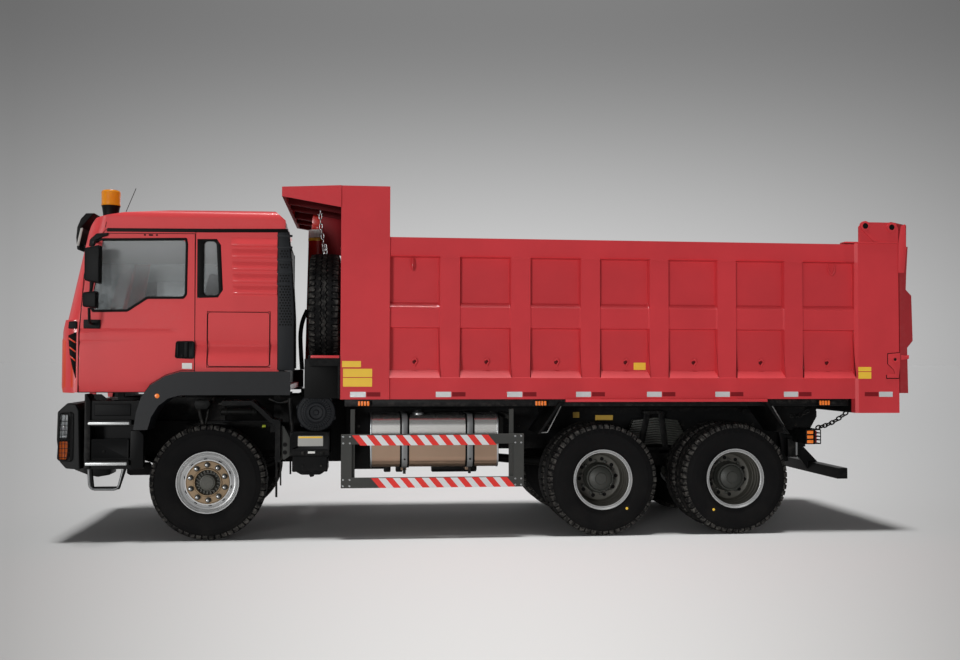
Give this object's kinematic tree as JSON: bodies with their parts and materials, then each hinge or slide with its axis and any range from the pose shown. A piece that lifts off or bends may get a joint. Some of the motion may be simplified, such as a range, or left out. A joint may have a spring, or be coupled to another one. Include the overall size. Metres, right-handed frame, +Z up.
{
  "type": "three-axle dump truck",
  "caption": "Three-axle dump truck with a tilting cab, steered front wheels, twinned drive wheels, a ribbed tipping bed, a front telescopic hoist and a hinged tailgate.",
  "frame": {"origin": "on the ground, at the middle of the bounding box's base", "axes": "+X to the truck's rear, +Y to its right side, +Z up"},
  "size_m": [8.436, 2.88, 3.41],
  "materials": {
    "cab_paint": "gloss bright red paint",
    "bed_paint": "satin deep red paint",
    "chassis_paint": "satin black paint",
    "guard_paint": "grey paint",
    "trim_plastic": "dark grey moulded plastic",
    "lamp_glass": "clear lamp covers",
    "window_glass": "tinted window glass",
    "tyre_rubber": "matt black rubber",
    "rim_metal": "silver wheel paint",
    "tank_metal": "bright aluminium",
    "exhaust_metal": "dull aluminised steel",
    "black_plastic": "black plastic",
    "amber_plastic": "amber lens",
    "red_lens": "red lens",
    "seat_fabric": "dark woven cloth",
    "hoist_paint": "red paint",
    "hoist_chrome": "polished stages",
    "cast_metal": "black painted castings"
  },
  "bodies": {
    "chassis": {"chassis_frame": "chassis_paint", "front_bumper": "trim_plastic", "headlamps": "lamp_glass", "front_axle": "cast_metal", "drive_axles": "cast_metal", "powertrain": "cast_metal", "fuel_tank": "tank_metal", "exhaust_box": "exhaust_metal", "air_filter": "black_plastic", "battery_box": "black_plastic", "side_guards": "guard_paint", "cab_steps": "trim_plastic", "mudguards": "chassis_paint", "tail_lamps": "red_lens", "underrun_bar": "chassis_paint"},
    "cab": {"cab_floor": "cab_paint", "cab_roof": "cab_paint", "cab_front_panel": "cab_paint", "cab_side_panels": "cab_paint", "cab_rear_wall": "cab_paint", "cab_glass": "window_glass", "wheel_arches": "trim_plastic", "sun_visor": "black_plastic", "roof_beacon": "amber_plastic", "seats": "seat_fabric", "dashboard": "trim_plastic"},
    "door_left_body": {"door_left": "cab_paint", "door_glass_left": "window_glass", "door_mirrors_left": "black_plastic"},
    "locker_left_body": {"locker_lid_left": "cab_paint"},
    "knuckle_left": {"steering_knuckle_left": "chassis_paint"},
    "front_wheel_left": {"front_tyre_left": "tyre_rubber", "front_rim_left": "rim_metal"},
    "middle_wheels_left": {"middle_tyres_left": "tyre_rubber", "middle_rims_left": "rim_metal"},
    "rear_wheels_left": {"rear_tyres_left": "tyre_rubber", "rear_rims_left": "rim_metal"},
    "door_right_body": {"door_right": "cab_paint", "door_glass_right": "window_glass", "door_mirrors_right": "black_plastic"},
    "locker_right_body": {"locker_lid_right": "cab_paint"},
    "knuckle_right": {"steering_knuckle_right": "chassis_paint"},
    "front_wheel_right": {"front_tyre_right": "tyre_rubber", "front_rim_right": "rim_metal"},
    "middle_wheels_right": {"middle_tyres_right": "tyre_rubber", "middle_rims_right": "rim_metal"},
    "rear_wheels_right": {"rear_tyres_right": "tyre_rubber", "rear_rims_right": "rim_metal"},
    "bed": {"bed_side_walls": "bed_paint", "bed_floor": "bed_paint", "headboard": "bed_paint", "canopy": "bed_paint", "spare_wheel": "tyre_rubber", "spare_shelf": "bed_paint"},
    "tailgate_body": {"tailgate": "bed_paint"},
    "hoist_tube_body": {"hoist_tube": "hoist_paint"},
    "hoist_stage_1_body": {"hoist_stage_1": "hoist_chrome"},
    "hoist_stage_2_body": {"hoist_stage_2": "hoist_chrome"},
    "hoist_stage_3_body": {"hoist_stage_3": "hoist_chrome"}
  },
  "joints": [
    {"name": "cab_tilt", "type": "hinge", "parent": "chassis", "child": "cab", "pos_m": [-4.08, 0, 1.342], "axis": [0, -1, 0], "range_deg": [0, 50]},
    {"name": "door_left", "type": "hinge", "parent": "cab", "child": "door_left_body", "pos_m": [-4.015, -1.195, 2.1], "axis": [0, 0, -1], "range_deg": [0, 65]},
    {"name": "locker_left", "type": "hinge", "parent": "cab", "child": "locker_left_body", "pos_m": [-2.547, -1.197, 2.1828], "axis": [-1, 0, 0], "range_deg": [0, 80]},
    {"name": "steer_left", "type": "hinge", "parent": "chassis", "child": "knuckle_left", "pos_m": [-2.83, -0.86, 0.552], "axis": [0, 0, 1], "range_deg": [-35, 35]},
    {"name": "front_wheel_left_spin", "type": "hinge", "parent": "knuckle_left", "child": "front_wheel_left", "pos_m": [-2.83, -1.012, 0.552], "axis": [0, 1, 0], "continuous": true},
    {"name": "middle_wheels_left_spin", "type": "hinge", "parent": "chassis", "child": "middle_wheels_left", "pos_m": [0.995, -0.91, 0.552], "axis": [0, 1, 0], "continuous": true},
    {"name": "rear_wheels_left_spin", "type": "hinge", "parent": "chassis", "child": "rear_wheels_left", "pos_m": [2.345, -0.91, 0.552], "axis": [0, 1, 0], "continuous": true},
    {"name": "door_right", "type": "hinge", "parent": "cab", "child": "door_right_body", "pos_m": [-4.015, 1.195, 2.1], "axis": [0, 0, 1], "range_deg": [0, 65]},
    {"name": "locker_right", "type": "hinge", "parent": "cab", "child": "locker_right_body", "pos_m": [-2.547, 1.197, 2.1828], "axis": [1, 0, 0], "range_deg": [0, 80]},
    {"name": "steer_right", "type": "hinge", "parent": "chassis", "child": "knuckle_right", "pos_m": [-2.83, 0.86, 0.552], "axis": [0, 0, 1], "range_deg": [-35, 35]},
    {"name": "front_wheel_right_spin", "type": "hinge", "parent": "knuckle_right", "child": "front_wheel_right", "pos_m": [-2.83, 1.012, 0.552], "axis": [0, 1, 0], "continuous": true},
    {"name": "middle_wheels_right_spin", "type": "hinge", "parent": "chassis", "child": "middle_wheels_right", "pos_m": [0.995, 0.91, 0.552], "axis": [0, 1, 0], "continuous": true},
    {"name": "rear_wheels_right_spin", "type": "hinge", "parent": "chassis", "child": "rear_wheels_right", "pos_m": [2.345, 0.91, 0.552], "axis": [0, 1, 0], "continuous": true},
    {"name": "bed_tilt", "type": "hinge", "parent": "chassis", "child": "bed", "pos_m": [3.5, 0, 1.165], "axis": [0, 1, 0], "range_deg": [0, 45]},
    {"name": "tailgate_swing", "type": "hinge", "parent": "bed", "child": "tailgate_body", "pos_m": [4.019, 0, 3.117], "axis": [0, -1, 0], "range_deg": [0, 60]},
    {"name": "hoist_swing", "type": "hinge", "parent": "chassis", "child": "hoist_tube_body", "pos_m": [-1.88, 0, 1.15], "axis": [0, 1, 0], "range_deg": [0, 29.21]},
    {"name": "hoist_extend_1", "type": "slide", "parent": "hoist_tube_body", "child": "hoist_stage_1_body", "axis": [0.0192, 0, 0.9998], "range_m": [0, 1.3351]},
    {"name": "hoist_extend_2", "type": "slide", "parent": "hoist_stage_1_body", "child": "hoist_stage_2_body", "axis": [0.0192, 0, 0.9998], "range_m": [0, 1.3351]},
    {"name": "hoist_extend_3", "type": "slide", "parent": "hoist_stage_2_body", "child": "hoist_stage_3_body", "axis": [0.0192, 0, 0.9998], "range_m": [0, 1.3351]}
  ],
  "couplings": [
    {"joint": "hoist_swing", "follows": "bed_tilt", "ratio": 0.64808},
    {"joint": "hoist_extend_1", "follows": "bed_tilt", "m_per_rad": 1.6974},
    {"joint": "hoist_extend_2", "follows": "bed_tilt", "m_per_rad": 1.6974},
    {"joint": "hoist_extend_3", "follows": "bed_tilt", "m_per_rad": 1.6974},
    {"joint": "steer_right", "follows": "steer_left", "ratio": 1}
  ]
}
